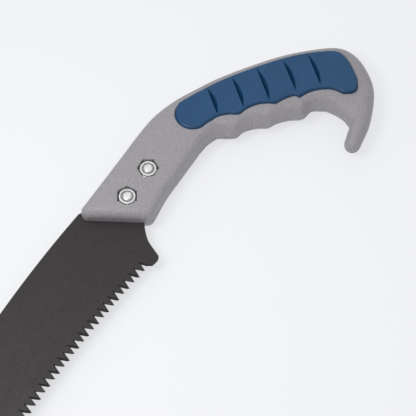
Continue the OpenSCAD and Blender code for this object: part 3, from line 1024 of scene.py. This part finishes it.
def blade_bolt(i, material):
    """Socket head bolt: rounded head with a hexagon socket, threaded shank, chamfered and domed end."""
    centre = bolt_places()[i]
    under = -(WASHER_SEAT_Z + WASHER_T)
    low = under - HEAD_H
    end = under + BOLT_LEN
    profile = [(HEAD_R - HEAD_FILLET - 0.05, low), *rounded(HEAD_R, low, HEAD_FILLET, up=False),
               (HEAD_R, under - 0.2), (HEAD_R - 0.2, under), (BOLT_R, under)]
    profile += thread(under + PLAIN_SHANK, end - 1.4)
    profile += [(BOLT_R, end - 1.15), (BOLT_R - 0.05, end - 0.95), (DOME_R + 0.15, end - 0.42)]
    profile += [(DOME_R * math.cos(a), end - DOME_H * (1 - math.sin(a))) for a in np.radians(DOME_ANGLES)]
    obj = make_object(ENDS[i] + "_socket_bolt", lathe(profile, centre))
    socket = hexagon(SOCKET_AF, SOCKET_TURN, centre)
    mouth = hexagon(SOCKET_MOUTH_AF, SOCKET_TURN, centre)
    cut(obj, stack([(mouth, low - 0.1), (socket, low + 0.3), (socket, low + SOCKET_DEEP)]))
    return place(obj, ENDS[i] + "_blade_bolt", "zinc_steel", material, sharp=40)


def bolt_washer(i, material):
    """Round washer with slightly rounded edges."""
    low, high = -(WASHER_SEAT_Z + WASHER_T), -WASHER_SEAT_Z
    profile = [(WASHER_HOLE_R, low + 0.15), (WASHER_HOLE_R + 0.15, low), (WASHER_R - 0.3, low),
               (WASHER_R - 0.1, low + 0.08), (WASHER_R, low + 0.3), (WASHER_R, high - 0.1),
               (WASHER_R - 0.1, high), (WASHER_HOLE_R, high)]
    obj = make_object(ENDS[i] + "_round_washer", lathe(profile, bolt_places()[i], ring=True))
    return place(obj, ENDS[i] + "_bolt_washer", "zinc_steel", material)


# ---- camera, floor and light ----

VIEW_RIGHT = Vector((0.5446, -0.8387, 0))
VIEW_UP_ON_FLOOR = Vector((0.8387, 0.5446, 0))
VIEW_TILT = math.radians(27)
# Distance in metres, point looked at in the plan axes, focal length for a sensor this wide
VIEW_DISTANCE = 1.0
VIEW_CENTRE = Vector((23.16, -41.35, 0))
VIEW_LENS = 147.1
VIEW_SENSOR = 36
FLOOR_SIZE = 40
FLOOR_DROP = 0.00005
FLOOR_GREY = (0.30, 0.30, 0.30, 1)
FLOOR_GLOW = 0.635
# The dome glows most straight above, leaning this much away from the viewer
SKY_LEAN = 0.25
SKY_SPREAD = (0.1, 0.85)
SKY_GLOW = (0.30, 0.80)
# Strength of the dome where the camera sees it
SKY_SEEN = 0.9
# Key light: watts, metres, and its lean in the view for each metre of height
KEY_POWER = 0.85
KEY_SIZE = 0.20
KEY_DISTANCE = 0.48
KEY_UP = -0.26
KEY_LEFT = 0.34


def make_camera():
    data = bpy.data.cameras.new("camera")
    data.lens = VIEW_LENS
    data.sensor_width = VIEW_SENSOR
    camera = bpy.data.objects.new("camera", data)
    bpy.context.collection.objects.link(camera)
    back = -VIEW_UP_ON_FLOOR * math.sin(VIEW_TILT) + Vector((0, 0, math.cos(VIEW_TILT)))
    up = back.cross(VIEW_RIGHT)
    turn = Matrix((VIEW_RIGHT, up, back)).transposed().to_4x4()
    target = ORIGIN + VIEW_CENTRE * MM
    camera.matrix_world = Matrix.Translation(target + back * VIEW_DISTANCE) @ turn
    bpy.context.scene.camera = camera


def make_floor():
    bpy.ops.mesh.primitive_plane_add(size=FLOOR_SIZE, location=(0, 0, -FLOOR_DROP))
    floor = bpy.context.object
    floor.name = "floor"
    n = Nodes("pale_floor")
    n.finish(Base_Color=FLOOR_GREY, Roughness=1.0, Specular_IOR_Level=0.0,
             Emission_Color=(0.98, 0.99, 1.01, 1), Emission_Strength=FLOOR_GLOW)
    floor.data.materials.append(n.material)


def make_sky():
    """Studio dome: bright overhead, dim towards the viewer, and pale where the camera sees it."""
    world = bpy.data.worlds.new("studio")
    world.use_nodes = True
    tree = world.node_tree
    background = tree.nodes["Background"]
    direction = tree.nodes.new("ShaderNodeTexCoord").outputs["Generated"]
    facing = tree.nodes.new("ShaderNodeVectorMath")
    facing.operation = "DOT_PRODUCT"
    facing.inputs[1].default_value = (Vector((0, 0, 1)) + SKY_LEAN * VIEW_UP_ON_FLOOR).normalized()
    tree.links.new(direction, facing.inputs[0])
    glow = tree.nodes.new("ShaderNodeMapRange")
    glow.interpolation_type = "SMOOTHSTEP"
    glow.inputs["From Min"].default_value, glow.inputs["From Max"].default_value = SKY_SPREAD
    glow.inputs["To Min"].default_value, glow.inputs["To Max"].default_value = SKY_GLOW
    tree.links.new(facing.outputs["Value"], glow.inputs["Value"])
    seen = tree.nodes.new("ShaderNodeLightPath").outputs["Is Camera Ray"]
    strength = tree.nodes.new("ShaderNodeMix")
    strength.inputs["B"].default_value = SKY_SEEN
    tree.links.new(seen, strength.inputs["Factor"])
    tree.links.new(glow.outputs["Result"], strength.inputs["A"])
    background.inputs["Color"].default_value = (0.985, 0.99, 1, 1)
    tree.links.new(strength.outputs["Result"], background.inputs["Strength"])
    bpy.context.scene.world = world


def make_light():
    """Soft key light from the left of the view, a little towards the viewer."""
    key = bpy.data.lights.new("key", "AREA")
    key.shape = "DISK"
    key.energy = KEY_POWER
    key.size = KEY_SIZE
    lamp = bpy.data.objects.new("key", key)
    bpy.context.collection.objects.link(lamp)
    towards = (Vector((0, 0, 1)) + KEY_UP * VIEW_UP_ON_FLOOR - KEY_LEFT * VIEW_RIGHT).normalized()
    lamp.location = ORIGIN + towards * KEY_DISTANCE
    lamp.rotation_mode = "QUATERNION"
    lamp.rotation_quaternion = towards.to_track_quat("Z", "Y")


# ---- the saw ----

grey = handle_plastic()
blue = grip_plastic()
# Darker blue with painted shade for the steep faces of the grip pads
flank = painted_shade_flank_plastic()
coat = blade_coating()
zinc = zinc_steel()
nylon = insert_nylon()

for lower in (False, True):
    handle_half(lower, grey)
    grip_inlay(lower, blue, flank)
blade(coat)
for i in (0, 1):
    lock_nut(i, zinc)
    nut_insert(i, nylon)
    blade_bolt(i, zinc)
    bolt_washer(i, zinc)
for name in ("front_grip_screw", "middle_grip_screw", "rear_grip_screw"):
    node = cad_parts[name]
    node.data.materials.clear()
    node.data.materials.append(zinc)

make_camera()
make_floor()
make_light()
make_sky()
bpy.context.scene.view_settings.view_transform = "Standard"
